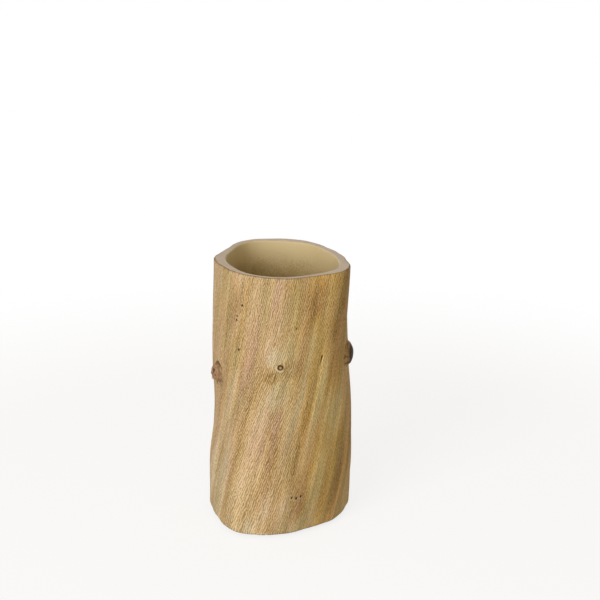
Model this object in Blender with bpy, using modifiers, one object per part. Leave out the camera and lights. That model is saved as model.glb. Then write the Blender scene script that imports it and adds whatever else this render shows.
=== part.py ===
"""A toothbrush cup cast in the shape of a short log with its bark off, on four soft feet.

Run it with: blender --background --python part.py
Lengths are in metres and angles in degrees, +Z is up and -Y is the front.
Angles round the cup run anticlockwise from +X, the right-hand side, as seen from above.
The origin is at the bottom centre of the whole cup, on the surface that it stands on.
"""

import math

import bmesh
import bpy
from mathutils import Matrix, Vector

# Log, from the underside of the casting to its rim
BODY_HEIGHT = 0.120
LOG_RADIUS = 0.030
BASE_EDGE_RADIUS = 0.0012
RIM_OUTER_EDGE_RADIUS = 0.0006

# Section outlines of the log at even heights, from the base to the rim.
# Each row is the radius every 30 degrees from +X, as shares of LOG_RADIUS.
# The blunt corner at the front left of the base winds round to the front right at the rim.
SECTION_RADIUS_SHARES = (
    (1.02, 1.13, 1.06, 1.01, 1.06, 1.17, 1.07, 1.08, 1.24, 1.12, 0.98, 0.98),
    (1.08, 1.12, 1.04, 1.01, 1.05, 1.13, 1.07, 1.03, 1.14, 1.10, 1.00, 1.01),
    (1.07, 1.07, 1.02, 1.01, 1.05, 1.07, 1.00, 0.98, 1.06, 1.09, 1.02, 1.02),
    (1.03, 1.00, 0.99, 1.01, 1.05, 1.02, 1.02, 0.98, 1.01, 1.06, 1.05, 1.04),
    (1.00, 0.95, 0.96, 1.00, 1.05, 0.98, 1.01, 0.96, 0.97, 1.02, 1.04, 1.08),
    (0.99, 0.90, 0.96, 1.01, 1.06, 0.95, 0.98, 0.94, 0.95, 1.00, 1.02, 1.14),
)

# Shallow flutes that follow the spiral grain
GRAIN_LEAN_AT_BASE = 24.0
GRAIN_LEAN_AT_RIM = 6.0
WIDE_FLUTE_COUNT = 7
WIDE_FLUTE_DEPTH = 0.00020
NARROW_FLUTE_COUNT = 17
NARROW_FLUTE_DEPTH = 0.00012

# Bore, and the wall left between it and the log at the rim.
# The wall is given every 30 degrees from +X, as shares of THICKEST_WALL.
THICKEST_WALL = 0.0054
WALL_SHARES = (0.80, 0.64, 0.66, 0.74, 0.58, 0.64, 0.96, 0.84, 0.55, 0.60, 0.68, 1.00)
BORE_DRAFT_ANGLE = 1.5
FLOOR_THICKNESS = 0.0070
FLOOR_FILLET_RADIUS = 0.0050
RIM_INNER_EDGE_RADIUS = 0.0008

# Stub of a sawn-off branch on the right
STUB_ANGLE = 350.0
STUB_CENTRE_HEIGHT = 0.0772
STUB_LENGTH = 0.0114
STUB_WIDTH = 0.0120
STUB_RISE = 0.0027
STUB_ROOT_DEPTH = 0.0010

# Small knot at the front left
KNOT_ANGLE = 200.0
KNOT_CENTRE_HEIGHT = 0.0695
KNOT_LENGTH = 0.0092
KNOT_WIDTH = 0.0088
KNOT_RISE = 0.0026
KNOT_ROOT_DEPTH = 0.0008

# Twig scar at the front: a low swelling with a ring pressed into it
SCAR_ANGLE = 271.0
SCAR_CENTRE_HEIGHT = 0.0787
SCAR_LENGTH = 0.0070
SCAR_WIDTH = 0.0056
SCAR_RISE = 0.0004
SCAR_ROOT_DEPTH = 0.0006
SCAR_RING_DIAMETER = 0.0022
SCAR_GROOVE_WIDTH = 0.0006

# Soft feet, held by a film of adhesive
FOOT_DIAMETER = 0.0090
FOOT_THICKNESS = 0.0012
FOOT_EDGE_RADIUS = 0.0004
FOOT_INSET = 0.0045
ADHESIVE_FILM = 0.0003
FOOT_ANGLES = {
    "foot_back_right": 45.0,
    "foot_back_left": 135.0,
    "foot_front_left": 225.0,
    "foot_front_right": 315.0,
}

# How finely the round stretches are drawn
LOG_SEGMENTS = 84
WALL_STEPS = 28
BORE_STEPS = 4
EDGE_STEPS = 3
FILLET_STEPS = 5
KNOT_SEGMENTS = 24
KNOT_RINGS = 12
RING_SEGMENTS = 20
RING_SIDES = 8
FOOT_SEGMENTS = 32
SHARP_ANGLE = 40.0
MERGE_DISTANCE = 0.00001


def clear_scene():
    """Removes every object that the file opened with."""
    for old in list(bpy.data.objects):
        bpy.data.objects.remove(old)


def make_material(name, colour, roughness, metallic=0.0):
    """Returns a Principled BSDF material of one colour."""
    material = bpy.data.materials.new(name)
    material.use_nodes = True
    shader = material.node_tree.nodes["Principled BSDF"]
    shader.inputs["Base Color"].default_value = (*colour, 1.0)
    shader.inputs["Roughness"].default_value = roughness
    shader.inputs["Metallic"].default_value = metallic
    return material


def make_collection(name):
    """Returns a new collection linked to the scene."""
    collection = bpy.data.collections.new(name)
    bpy.context.scene.collection.children.link(collection)
    return collection


def place_object(name, mesh, collection, material=None):
    """Returns an object for a mesh, in a collection."""
    placed = bpy.data.objects.new(name, mesh)
    collection.objects.link(placed)
    if material and not mesh.materials:
        mesh.materials.append(material)
    return placed


def cubic_between(before, start, end, after, share):
    """Returns the Catmull-Rom value between start and end, at a share from 0 to 1."""
    slope_in = (end - before) / 2
    slope_out = (after - start) / 2
    bend = 2 * (start - end) + slope_in + slope_out
    lift = 3 * (end - start) - 2 * slope_in - slope_out
    return ((bend * share + lift) * share + slope_in) * share + start


def share_at(shares, angle):
    """Returns the share at an angle, on a smooth closed curve through evenly spaced shares."""
    count = len(shares)
    place = angle / 360 * count
    index = math.floor(place)
    near = [shares[(index + step) % count] for step in (-1, 0, 1, 2)]
    return cubic_between(*near, place - index)


def grain_slope(height):
    """Returns how far the grain runs round the log for each step up, at a height."""
    base_slope = math.tan(math.radians(GRAIN_LEAN_AT_BASE))
    rim_slope = math.tan(math.radians(GRAIN_LEAN_AT_RIM))
    return base_slope + (rim_slope - base_slope) * height / BODY_HEIGHT


def grain_turn(height):
    """Returns the angle that the grain has wound through between the base and a height."""
    mean_slope = (grain_slope(0) + grain_slope(height)) / 2
    return math.degrees(mean_slope * height / LOG_RADIUS)


def flute_height(angle, height):
    """Returns how far the flutes stand out of the plain log, or in where negative."""
    around = math.radians(angle - grain_turn(height))
    wide = WIDE_FLUTE_DEPTH * math.sin(WIDE_FLUTE_COUNT * around)
    narrow = NARROW_FLUTE_DEPTH * math.sin(NARROW_FLUTE_COUNT * around)
    return wide + narrow


def log_radius(angle, height):
    """Returns the log's outer radius at an angle and a height above its base."""
    last = len(SECTION_RADIUS_SHARES) - 1
    place = height / BODY_HEIGHT * last
    index = min(max(math.floor(place), 0), last - 1)
    near = [
        share_at(SECTION_RADIUS_SHARES[min(max(index + step, 0), last)], angle)
        for step in (-1, 0, 1, 2)
    ]
    return LOG_RADIUS * cubic_between(*near, place - index) + flute_height(angle, height)


def bore_radius(angle, height):
    """Returns the bore's radius, which the draft narrows from the rim down to the floor."""
    rim_radius = LOG_RADIUS * share_at(SECTION_RADIUS_SHARES[-1], angle)
    wall = THICKEST_WALL * share_at(WALL_SHARES, angle)
    depth = BODY_HEIGHT - height
    return rim_radius - wall - depth * math.tan(math.radians(BORE_DRAFT_ANGLE))


def log_point(radius, angle, height):
    """Returns the point at a radius, an angle and a height."""
    turn = math.radians(angle)
    return Vector((radius * math.cos(turn), radius * math.sin(turn), height))


def ring_points(radius_at, height, inset):
    """Returns one ring of the casting's skin, at a height, drawn in by an inset."""
    angles = [360 * step / LOG_SEGMENTS for step in range(LOG_SEGMENTS)]
    return [log_point(radius_at(angle, height) - inset, angle, height) for angle in angles]


def quarter_turn(count):
    """Returns the sine and cosine of even steps through a quarter turn."""
    turns = [math.pi / 2 * step / count for step in range(count + 1)]
    return [(math.sin(turn), math.cos(turn)) for turn in turns]


def body_rings():
    """Returns the casting's skin as rings: up the log, over the rim, down the bore, over the floor."""
    rings = []
    for sine, cosine in quarter_turn(EDGE_STEPS):
        height = BASE_EDGE_RADIUS * (1 - cosine)
        rings.append(ring_points(log_radius, height, BASE_EDGE_RADIUS * (1 - sine)))

    wall_low = BASE_EDGE_RADIUS
    wall_high = BODY_HEIGHT - RIM_OUTER_EDGE_RADIUS
    for step in range(1, WALL_STEPS):
        height = wall_low + (wall_high - wall_low) * step / WALL_STEPS
        rings.append(ring_points(log_radius, height, 0))

    for sine, cosine in quarter_turn(EDGE_STEPS):
        height = wall_high + RIM_OUTER_EDGE_RADIUS * sine
        rings.append(ring_points(log_radius, height, RIM_OUTER_EDGE_RADIUS * (1 - cosine)))

    for sine, cosine in quarter_turn(EDGE_STEPS):
        height = BODY_HEIGHT - RIM_INNER_EDGE_RADIUS * (1 - cosine)
        rings.append(ring_points(bore_radius, height, -RIM_INNER_EDGE_RADIUS * (1 - sine)))

    bore_high = BODY_HEIGHT - RIM_INNER_EDGE_RADIUS
    bore_low = FLOOR_THICKNESS + FLOOR_FILLET_RADIUS
    for step in range(1, BORE_STEPS):
        height = bore_high + (bore_low - bore_high) * step / BORE_STEPS
        rings.append(ring_points(bore_radius, height, 0))

    for sine, cosine in quarter_turn(FILLET_STEPS):
        height = bore_low - FLOOR_FILLET_RADIUS * sine
        rings.append(ring_points(bore_radius, height, FLOOR_FILLET_RADIUS * (1 - cosine)))
    return rings


def loft_mesh(name, rings):
    """Returns a closed mesh whose skin runs through the rings, with a flat face on each end."""
    loft = bmesh.new()
    loops = [[loft.verts.new(point) for point in ring] for ring in rings]
    count = len(loops[0])
    for low, high in zip(loops, loops[1:]):
        for step in range(count):
            after = (step + 1) % count
            loft.faces.new((low[step], low[after], high[after], high[step]))
    loft.faces.new(reversed(loops[0]))
    loft.faces.new(loops[-1])
    mesh = bpy.data.meshes.new(name)
    loft.to_mesh(mesh)
    loft.free()
    return mesh


def smooth_shade(mesh):
    """Shades round stretches smooth and keeps true edges sharp."""
    mesh.shade_smooth()
    mesh.set_sharp_from_angle(angle=math.radians(SHARP_ANGLE))


def egg_mesh(name, reach, width, length):
    """Returns an egg that reaches as far to each side along X, with its width along Y."""
    egg = bmesh.new()
    bmesh.ops.create_uvsphere(egg, u_segments=KNOT_SEGMENTS, v_segments=KNOT_RINGS, radius=1)
    size = Matrix.Diagonal((reach, width / 2, length / 2, 1))
    bmesh.ops.transform(egg, matrix=size, verts=egg.verts)
    mesh = bpy.data.meshes.new(name)
    egg.to_mesh(mesh)
    egg.free()
    mesh.shade_smooth()
    return mesh


def ring_mesh(name, diameter, thickness):
    """Returns a ring that lies round the X axis."""
    bpy.ops.mesh.primitive_torus_add(
        rotation=(0, math.pi / 2, 0),
        major_segments=RING_SEGMENTS,
        minor_segments=RING_SIDES,
        major_radius=diameter / 2,
        minor_radius=thickness / 2,
    )
    torus = bpy.context.object
    mesh = torus.data
    mesh.transform(torus.matrix_basis)
    mesh.name = name
    bpy.data.objects.remove(torus)
    return mesh


def apply_to_body(body, operation, mesh, cutters, angle, height, rise):
    """Joins a shape to the casting or cuts it out, with its centre standing off the log by rise."""
    shape = place_object(mesh.name, mesh, cutters)
    shape.parent = body
    shape.location = log_point(log_radius(angle, height) + rise, angle, height)
    lean = math.atan(grain_slope(height))
    shape.rotation_euler = (-lean, 0, math.radians(angle))
    shape.hide_render = True
    shape.display_type = "WIRE"
    boolean = body.modifiers.new(mesh.name, "BOOLEAN")
    boolean.operation = operation
    boolean.object = shape


def add_stub(body, cutters):
    """Casts the sawn branch stub in one piece with the log."""
    stub = egg_mesh("branch_stub", STUB_RISE + STUB_ROOT_DEPTH, STUB_WIDTH, STUB_LENGTH)
    place = (STUB_ANGLE, STUB_CENTRE_HEIGHT, -STUB_ROOT_DEPTH)
    apply_to_body(body, "UNION", stub, cutters, *place)


def add_knot(body, cutters):
    """Casts the small knot in one piece with the log."""
    knot = egg_mesh("small_knot", KNOT_RISE + KNOT_ROOT_DEPTH, KNOT_WIDTH, KNOT_LENGTH)
    place = (KNOT_ANGLE, KNOT_CENTRE_HEIGHT, -KNOT_ROOT_DEPTH)
    apply_to_body(body, "UNION", knot, cutters, *place)


def add_twig_scar(body, cutters):
    """Casts the swelling round the twig scar, and presses the ring into the top of it."""
    swelling = egg_mesh("scar_swelling", SCAR_RISE + SCAR_ROOT_DEPTH, SCAR_WIDTH, SCAR_LENGTH)
    place = (SCAR_ANGLE, SCAR_CENTRE_HEIGHT)
    apply_to_body(body, "UNION", swelling, cutters, *place, -SCAR_ROOT_DEPTH)
    ring = ring_mesh("scar_ring", SCAR_RING_DIAMETER, SCAR_GROOVE_WIDTH)
    apply_to_body(body, "DIFFERENCE", ring, cutters, *place, SCAR_RISE)


def make_body(parts, cutters, material):
    """Returns the cast body: the hollow log, with its stub, its knot and its scar."""
    mesh = loft_mesh("cup_body", body_rings())
    smooth_shade(mesh)
    body = place_object("cup_body", mesh, parts, material)
    body.location.z = FOOT_THICKNESS + ADHESIVE_FILM
    add_stub(body, cutters)
    add_knot(body, cutters)
    add_twig_scar(body, cutters)
    return body


def foot_mesh():
    """Returns the half profile of a foot, from its top centre round its edge to its bottom centre."""
    radius = FOOT_DIAMETER / 2
    profile = [(0, FOOT_THICKNESS), (radius, FOOT_THICKNESS)]
    for sine, cosine in quarter_turn(EDGE_STEPS):
        across = radius - FOOT_EDGE_RADIUS * (1 - cosine)
        profile.append((across, FOOT_EDGE_RADIUS * (1 - sine)))
    profile.append((0, 0))
    mesh = bpy.data.meshes.new("foot")
    edges = [(step, step + 1) for step in range(len(profile) - 1)]
    mesh.from_pydata([(across, 0, height) for across, height in profile], edges, [])
    return mesh


def make_foot(name, angle, mesh, parts, material):
    """Returns one foot, stuck under the base and drawn in from its edge."""
    foot = place_object(name, mesh, parts, material)
    turned = foot.modifiers.new("turned", "SCREW")
    turned.steps = FOOT_SEGMENTS
    turned.render_steps = FOOT_SEGMENTS
    turned.use_merge_vertices = True
    turned.merge_threshold = MERGE_DISTANCE
    turned.use_smooth_shade = True
    flat_radius = log_radius(angle, 0) - BASE_EDGE_RADIUS
    foot.location = log_point(flat_radius - FOOT_INSET - FOOT_DIAMETER / 2, angle, 0)
    return foot


def centre_on_origin(pieces, body, parts):
    """Moves the cup so that the origin is under the middle of its box."""
    centre = bpy.data.objects.new("cup_centre", None)
    parts.objects.link(centre)
    for piece in pieces:
        piece.parent = centre
    bpy.context.view_layer.update()
    shown = body.evaluated_get(bpy.context.evaluated_depsgraph_get())
    corners = [shown.matrix_world @ Vector(corner) for corner in shown.bound_box]
    for axis in (0, 1):
        places = [corner[axis] for corner in corners]
        centre.location[axis] = -(min(places) + max(places)) / 2


def build_cup():
    """Builds the cup from its casting and its feet."""
    clear_scene()
    parts = make_collection("toothbrush_cup")
    cutters = make_collection("cutters")
    wood_look = make_material("wood_look_resin", (0.55, 0.38, 0.19), 0.55)
    clear_soft = make_material("clear_soft_plastic", (0.78, 0.78, 0.74), 0.35)

    body = make_body(parts, cutters, wood_look)
    profile = foot_mesh()
    feet = [
        make_foot(name, angle, profile, parts, clear_soft) for name, angle in FOOT_ANGLES.items()
    ]
    centre_on_origin([body, *feet], body, parts)


build_cup()
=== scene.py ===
"""Looks of a toothbrush cup cast in resin as a short log with its bark off, on four soft feet.

Lengths are in metres and angles in degrees. +Z is up and -Y is the front. Angles round the log
run anticlockwise from +X, the right-hand side, as seen from above. Heights on the log are above
the underside of the casting.
"""

import logging
import math
from dataclasses import dataclass
from enum import IntEnum

import bpy
import numpy as np
from bpy.types import Material, Mesh, Node, NodeSocket, NodeTree, Object
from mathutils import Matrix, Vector, noise
from numpy import ndarray


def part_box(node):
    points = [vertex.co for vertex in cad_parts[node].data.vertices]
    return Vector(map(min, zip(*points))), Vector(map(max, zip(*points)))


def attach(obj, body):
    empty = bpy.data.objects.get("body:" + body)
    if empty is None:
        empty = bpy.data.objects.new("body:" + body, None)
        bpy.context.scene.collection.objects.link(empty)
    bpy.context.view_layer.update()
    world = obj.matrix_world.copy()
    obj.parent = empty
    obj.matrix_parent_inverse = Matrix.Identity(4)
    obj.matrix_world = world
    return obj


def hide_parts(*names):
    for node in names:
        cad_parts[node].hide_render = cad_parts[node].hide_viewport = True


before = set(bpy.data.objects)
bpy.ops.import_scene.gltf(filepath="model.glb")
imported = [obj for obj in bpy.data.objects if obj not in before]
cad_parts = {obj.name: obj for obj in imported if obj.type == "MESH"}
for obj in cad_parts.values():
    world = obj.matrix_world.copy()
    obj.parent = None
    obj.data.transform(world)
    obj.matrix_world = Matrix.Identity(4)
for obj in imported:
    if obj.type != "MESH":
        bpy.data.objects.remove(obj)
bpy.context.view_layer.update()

PER_MM = 1000.0
REPORT = logging.getLogger("cup")

# Settings of nodes that come up often
SCALE_AND_ADD = {"operation": "MULTIPLY_ADD"}
MIX_COLOURS = {"data_type": "RGBA"}

# Sockets of a Mix node that mixes colours, which share their names with its other kinds
MIX_FACTOR = 0
MIX_A = 6
MIX_B = 7


class Surface(IntEnum):
    """The casting's surfaces, in the order of its material slots."""

    OUTSIDE = 0
    RIM = 1
    BORE = 2
    UNDERSIDE = 3


def linear(colour: str) -> tuple[float, float, float, float]:
    """Turns an sRGB hex value to linear.

    Args:
        colour: the value, as #RRGGBB.

    Returns:
        Linear red, green and blue, with an alpha of 1.
    """
    parts = [int(colour[place : place + 2], 16) / 255 for place in (1, 3, 5)]
    red, green, blue = (
        part / 12.92 if part <= 0.04045 else ((part + 0.055) / 1.055) ** 2.4 for part in parts
    )
    return red, green, blue, 1.0


def add_node(
    tree: NodeTree,
    kind: str,
    settings: dict | None = None,
    inputs: dict | tuple = (),
    stops: tuple[tuple[float, str], ...] = (),
) -> Node:
    """Adds a node with its settings and links.

    Args:
        tree: the tree that gets the node.
        kind: the node's type, without ShaderNode before it.
        settings: values of the node's own properties.
        inputs: what its sockets get, by their names or numbers or in their order: a constant,
            an sRGB hex colour, an output, or a node, whose first output in use feeds it.
        stops: places and sRGB hex colours of a colour ramp.

    Returns:
        The new node.
    """
    node = tree.nodes.new("ShaderNode" + kind)
    for name, value in (settings or {}).items():
        setattr(node, name, value)
    for key, value in inputs.items() if isinstance(inputs, dict) else enumerate(inputs):
        if isinstance(value, Node):
            value = next(output for output in value.outputs if output.enabled)
        if isinstance(value, NodeSocket):
            tree.links.new(value, node.inputs[key])
        else:
            node.inputs[key].default_value = linear(value) if isinstance(value, str) else value
    for index, (place, colour) in enumerate(stops):
        elements = node.color_ramp.elements
        element = elements[index] if index < 2 else elements.new(place)
        element.position = place
        element.color = linear(colour)
    return node


def new_material(name: str) -> tuple[Material, NodeTree]:
    """Makes a material with an empty node tree.

    Args:
        name: the material's name.

    Returns:
        The material and its tree.
    """
    material = bpy.data.materials.new(name)
    material.use_nodes = True
    material.node_tree.nodes.clear()
    return material, material.node_tree


def stain_marks(tree: NodeTree, colour: Node, stains: dict[str, str | Node]) -> Node:
    """Lays stains over a colour where the marks on the mesh say.

    Args:
        tree: the material's tree.
        colour: the colour below.
        stains: for the name of a kind of mark, the colour that covers it. The last lies on top.

    Returns:
        The colour with its stains.
    """
    for mark, over in stains.items():
        where = add_node(tree, "Attribute", {"attribute_name": mark}).outputs["Fac"]
        mixed = {MIX_FACTOR: where, MIX_A: colour, MIX_B: over}
        colour = add_node(tree, "Mix", MIX_COLOURS, mixed)
    return colour


def end_material(tree: NodeTree, height: Node, relief: float, surface: dict) -> None:
    """Ends a material with its fine relief, its shader and its output.

    Args:
        tree: the material's tree.
        height: the pattern that stands in relief.
        relief: how far it stands out.
        surface: what the shader's other sockets get.
    """
    bump = add_node(tree, "Bump", inputs={"Height": height, "Distance": relief})
    shader = add_node(tree, "BsdfPrincipled", inputs={**surface, "Normal": bump})
    add_node(tree, "OutputMaterial", inputs=(shader,))


def add_object(name: str, data: bpy.types.ID) -> Object:
    """Links a new object to the scene.

    Args:
        name: the object's name.
        data: its mesh, lamp or camera.

    Returns:
        The object.
    """
    placed = bpy.data.objects.new(name, data)
    bpy.context.scene.collection.objects.link(placed)
    return placed


def ring_mesh(name: str, rings: ndarray, middles: list[tuple[float, float, float]]) -> Mesh:
    """Joins rings of points into a closed mesh.

    Args:
        name: the mesh's name.
        rings: each ring's points, anticlockwise from above. The rings go from the underside
            round the outside to the top.
        middles: the points that close the first ring and the last.

    Returns:
        The mesh, shaded smooth.
    """
    row_count, count = rings.shape[:2]
    here = np.arange(count)
    after = (here + 1) % count
    low = np.arange(row_count - 1)[:, None] * count
    high = low + count
    quads = np.stack((low + here, low + after, high + after, high + here), axis=-1)
    faces = quads.reshape(-1, 4).tolist()
    first_middle, top = row_count * count, (row_count - 1) * count
    sides = list(zip(here.tolist(), after.tolist()))
    faces += [(first_middle, b, a) for a, b in sides]
    faces += [(top + a, top + b, first_middle + 1) for a, b in sides]
    mesh = bpy.data.meshes.new(name)
    mesh.from_pydata(rings.reshape(-1, 3).tolist() + middles, [], faces)
    mesh.validate()
    mesh.shade_smooth()
    return mesh


def cubic_between(before: float, start: float, end: float, after: float, share: float) -> float:
    """Finds the Catmull-Rom value between start and end.

    Args:
        before: the value before start.
        start: the value at a share of 0.
        end: the value at a share of 1.
        after: the value after end.
        share: the place between start and end.

    Returns:
        The value at that share. Numbers and arrays serve alike.
    """
    slope_in = (end - before) / 2
    slope_out = (after - start) / 2
    bend = 2 * (start - end) + slope_in + slope_out
    lift = 3 * (end - start) - 2 * slope_in - slope_out
    return ((bend * share + lift) * share + slope_in) * share + start


def smooth_step(values: ndarray, start: float, end: float) -> ndarray:
    """Rises smoothly from 0 where values are at start to 1 where they are at end."""
    share = np.clip((values - start) / (end - start), 0, 1)
    return share * share * (3 - 2 * share)


def bell(values: ndarray, middle: float, spread: float) -> ndarray:
    """Gives a bell curve, 1 at middle, that fades over spread."""
    return np.exp(-(((values - middle) / spread) ** 2))


def smooth_noise(x: ndarray, y: ndarray, z: ndarray) -> ndarray:
    """Gives smooth noise, from about -1 to 1.

    Args:
        x: places along X, in cells of the noise.
        y: places along Y.
        z: places along Z.

    Returns:
        The noise at each place.
    """
    places = np.stack(np.broadcast_arrays(x, y, z), axis=-1)
    values = [noise.noise(Vector(place)) for place in places.reshape(-1, 3).tolist()]
    return np.array(values).reshape(places.shape[:-1])


def quarter_turn(count: int) -> tuple[ndarray, ndarray]:
    """Gives the sine and cosine of even steps through a quarter turn."""
    turns = np.linspace(0, math.pi / 2, count + 1)
    return np.sin(turns), np.cos(turns)


@dataclass(frozen=True)
class FineStretch:
    """A stretch where the mesh has closer lines, because a small mark lies there."""

    middle: float
    reach: float
    gap: float


def line_places(start: float, end: float, gap: float, fine: list[FineStretch]) -> ndarray:
    """Finds where the lines of a mesh go.

    Args:
        start: the first line.
        end: the last line.
        gap: the usual gap between lines.
        fine: the stretches with closer lines. The gap widens slowly away from them.

    Returns:
        The places of the lines, in order.
    """
    widening, ruler_marks = 0.25, 8001
    ruler = np.linspace(start, end, ruler_marks)
    gaps = np.full_like(ruler, gap)
    for stretch in fine:
        clear = np.maximum(np.abs(ruler - stretch.middle) - stretch.reach, 0)
        gaps = np.minimum(gaps, stretch.gap + widening * clear)
    lines = np.concatenate(([0], np.cumsum(np.diff(ruler) / gaps[:-1])))
    count = math.ceil(lines[-1])
    return np.interp(np.linspace(0, lines[-1], count + 1), lines, ruler)


@dataclass(frozen=True)
class LogShape:
    """The lofted log and its bore, with the sizes of the cast body's solid.

    The section and wall shares stand every 30 degrees from +X. The sections lie at even heights
    from base to rim, as shares of the radius, and the walls are shares of the thickest wall.
    """

    height: float = 0.120
    radius: float = 0.030
    base_edge: float = 0.0012
    rim_outer_edge: float = 0.0006
    rim_inner_edge: float = 0.0008
    section_shares: tuple[tuple[float, ...], ...] = (
        (1.02, 1.13, 1.06, 1.01, 1.06, 1.17, 1.07, 1.08, 1.24, 1.12, 0.98, 0.98),
        (1.08, 1.12, 1.04, 1.01, 1.05, 1.13, 1.07, 1.03, 1.14, 1.10, 1.00, 1.01),
        (1.07, 1.07, 1.02, 1.01, 1.05, 1.07, 1.00, 0.98, 1.06, 1.09, 1.02, 1.02),
        (1.03, 1.00, 0.99, 1.01, 1.05, 1.02, 1.02, 0.98, 1.01, 1.06, 1.05, 1.04),
        (1.00, 0.95, 0.96, 1.00, 1.05, 0.98, 1.01, 0.96, 0.97, 1.02, 1.04, 1.08),
        (0.99, 0.90, 0.96, 1.01, 1.06, 0.95, 0.98, 0.94, 0.95, 1.00, 1.02, 1.14),
    )
    lean_at_base: float = 24.0
    lean_at_rim: float = 6.0
    wide_flutes: int = 7
    wide_flute_depth: float = 0.00020
    narrow_flutes: int = 17
    narrow_flute_depth: float = 0.00012
    thickest_wall: float = 0.0054
    wall_shares: tuple[float, ...] = (
        0.80, 0.64, 0.66, 0.74, 0.58, 0.64, 0.96, 0.84, 0.55, 0.60, 0.68, 1.00
    )
    bore_draft: float = 1.5
    floor_thickness: float = 0.0070
    floor_fillet: float = 0.0050

    def round_share(self, shares: ndarray, angles: ndarray) -> ndarray:
        """Reads a smooth closed curve through evenly spaced shares.

        Args:
            shares: one row of shares, or a row for each angle.
            angles: where to read it.

        Returns:
            The share at each angle.
        """
        count = shares.shape[-1]
        place = np.asarray(angles) / 360 * count
        index = np.floor(place).astype(int)
        rows = np.broadcast_to(shares, index.shape + (count,))
        near = [
            np.take_along_axis(rows, ((index + step) % count)[..., None], axis=-1)[..., 0]
            for step in (-1, 0, 1, 2)
        ]
        return cubic_between(*near, place - index)

    def grain_slope(self, heights: ndarray) -> ndarray:
        """Gives how far the grain runs round the log for each step up."""
        base, rim = (math.tan(math.radians(lean)) for lean in (self.lean_at_base, self.lean_at_rim))
        return base + (rim - base) * heights / self.height

    def grain_turn(self, heights: ndarray) -> ndarray:
        """Gives the angle that the grain has wound through between the base and each height."""
        mean_slope = (self.grain_slope(0) + self.grain_slope(heights)) / 2
        return np.degrees(mean_slope * heights / self.radius)

    def outer_radius(self, angles: ndarray, heights: ndarray) -> ndarray:
        """Finds the log's outer radius, with its flutes.

        Args:
            angles: angles round the log.
            heights: a height for each angle.

        Returns:
            The radius at each place.
        """
        sections = np.array(self.section_shares)
        last = len(sections) - 1
        place = np.asarray(heights) / self.height * last
        index = np.clip(np.floor(place).astype(int), 0, last - 1)
        near = [
            self.round_share(sections[np.clip(index + step, 0, last)], angles)
            for step in (-1, 0, 1, 2)
        ]
        around = np.radians(angles - self.grain_turn(heights))
        wide = self.wide_flute_depth * np.sin(self.wide_flutes * around)
        narrow = self.narrow_flute_depth * np.sin(self.narrow_flutes * around)
        return self.radius * cubic_between(*near, place - index) + wide + narrow

    def bore_radius(self, angles: ndarray, heights: ndarray) -> ndarray:
        """Finds the bore's radius, which the draft narrows from the rim down.

        Args:
            angles: angles round the log.
            heights: a height for each angle.

        Returns:
            The radius at each place.
        """
        rim = self.radius * self.round_share(np.array(self.section_shares[-1]), angles)
        wall = self.thickest_wall * self.round_share(np.array(self.wall_shares), angles)
        return rim - wall - (self.height - heights) * math.tan(math.radians(self.bore_draft))

    def axis_in(self, low: Vector) -> tuple[float, float]:
        """Finds the log's axis from the lowest corner of the solid's box.

        Args:
            low: the lowest corner. The log's left and front set it, and no mark does.

        Returns:
            The axis's X and Y.
        """
        angles, heights = np.meshgrid(np.arange(0, 360, 1.0), np.linspace(0, self.height, 121))
        radii = self.outer_radius(angles, heights)
        left = (radii * np.cos(np.radians(angles))).min()
        front = (radii * np.sin(np.radians(angles))).min()
        return low[0] - left, low[1] - front


@dataclass
class Skin:
    """The log's outside as a grid, with rows up the log and columns along its grain.

    Fibres is the angle that each place's fibres rise from. Relief stands out of the plain log,
    in metres. Stain_and_shade, knot and worn run from 0 to 1: for where stain
    gathers, and where the stub and the knot's edge are darkened with painted shade; for where end
    grain shows; and for where stain is rubbed off, and where lips are lightened with painted
    highlights. Tone is how much paler the wiping left the stain, or darker where negative, and
    tint how much pinker, or more olive where negative. Rings is the distance from a knot's middle.
    """

    shape: LogShape
    angles: ndarray
    heights: ndarray
    fibres: ndarray
    relief: ndarray
    hollow: ndarray
    knot: ndarray
    worn: ndarray
    tone: ndarray
    tint: ndarray
    rings: ndarray

    def show(self, **kinds: ndarray) -> None:
        """Raises hollow, knot or worn to at least the values given for it."""
        for kind, values in kinds.items():
            setattr(self, kind, np.maximum(getattr(self, kind), values))


@dataclass(frozen=True)
class SurfaceMark:
    """A small mark on the log, laid out across and along the grain that runs through it.

    An oval is the distance from a mark's middle, as 1 on its outline.
    """

    angle: float
    height: float
    width: float
    length: float
    mesh_gap: float

    def turn_from(self, angles: ndarray) -> ndarray:
        """Gives the angle from the mark's middle, the short way round."""
        return (angles - self.angle + 180) % 360 - 180

    def spread(self, skin: Skin) -> tuple[ndarray, ndarray]:
        """Measures how far each place on the skin lies from the mark's middle.

        Args:
            skin: the log's skin.

        Returns:
            The distances across the grain and along it.
        """
        radius = float(skin.shape.outer_radius(np.array(self.angle), np.array(self.height)))
        sideways = radius * np.radians(self.turn_from(skin.angles))
        upwards = skin.heights - self.height
        lean = math.atan(float(skin.shape.grain_slope(self.height)))
        across = sideways * math.cos(lean) - upwards * math.sin(lean)
        along = sideways * math.sin(lean) + upwards * math.cos(lean)
        return across, along

    def oval(self, across: ndarray, along: ndarray) -> ndarray:
        """Gives the oval at distances across the grain and along it."""
        return np.hypot(across / (self.width / 2), along / (self.length / 2))

    def press(self, skin: Skin) -> None:
        """Shapes the skin and sets its stain, each kind of mark in its own way."""
        raise NotImplementedError


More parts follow.
